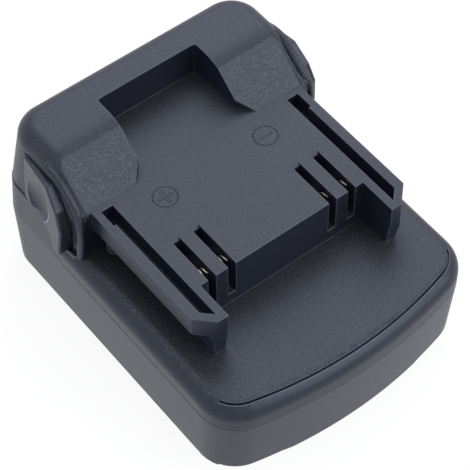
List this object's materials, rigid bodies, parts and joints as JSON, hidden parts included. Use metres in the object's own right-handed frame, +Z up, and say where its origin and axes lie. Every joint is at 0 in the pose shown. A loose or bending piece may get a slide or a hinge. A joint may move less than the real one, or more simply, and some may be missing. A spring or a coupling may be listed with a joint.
{
  "type": "tool battery adapter",
  "caption": "Slide-on tool battery adapter: low case, raised platform with lipped rails and contact slots, notched tower with side latch buttons, battery bay with blades underneath.",
  "frame": {"origin": "bottom of the case, in the middle of its width and length", "axes": "+X across the case to the right seen from the front, +Y from the low front towards the tower at the rear, +Z up"},
  "size_m": [0.0798, 0.0962, 0.05],
  "materials": {
    "case_plastic": "fine spark-eroded grain, near-black charcoal",
    "button_plastic": "smooth satin, near-black charcoal",
    "carrier_plastic": "satin black",
    "contact_metal": "nickel-plated, rolled",
    "spring_steel": "drawn spring wire",
    "screw_steel": "zinc-plated",
    "board_laminate": "green solder mask",
    "component_resin": "moulded black resin",
    "red_insulation": "soft satin insulation",
    "black_insulation": "soft satin insulation",
    "grey_insulation": "soft satin insulation"
  },
  "bodies": {
    "case": {"upper_shell": "case_plastic", "lower_shell": "case_plastic", "latch_spring_left": "spring_steel", "latch_spring_right": "spring_steel", "tool_contact_positive": "contact_metal", "tool_contact_negative": "contact_metal", "sense_contact_left": "contact_metal", "sense_contact_right": "contact_metal", "contact_carrier": "carrier_plastic", "blade_block": "carrier_plastic", "battery_blade_positive": "contact_metal", "battery_blade_negative": "contact_metal", "sense_board": "board_laminate", "board_components": "component_resin", "positive_lead": "red_insulation", "negative_lead": "black_insulation", "sense_leads": "grey_insulation", "case_screws": "screw_steel", "carrier_screws": "screw_steel", "board_screws": "screw_steel", "blade_block_screws": "screw_steel"},
    "latch_left": {"latch_button_left": "button_plastic"},
    "latch_right": {"latch_button_right": "button_plastic"}
  },
  "joints": [
    {"name": "latch_left_press", "type": "slide", "parent": "case", "child": "latch_left", "axis": [1, 0, 0], "range_m": [0, 0.0025], "stiffness_N_per_m": 800, "springref_m": -0.004, "deforming": ["latch_spring_left"]},
    {"name": "latch_right_press", "type": "slide", "parent": "case", "child": "latch_right", "axis": [-1, 0, 0], "range_m": [0, 0.0025], "stiffness_N_per_m": 800, "springref_m": -0.004, "deforming": ["latch_spring_right"]}
  ]
}
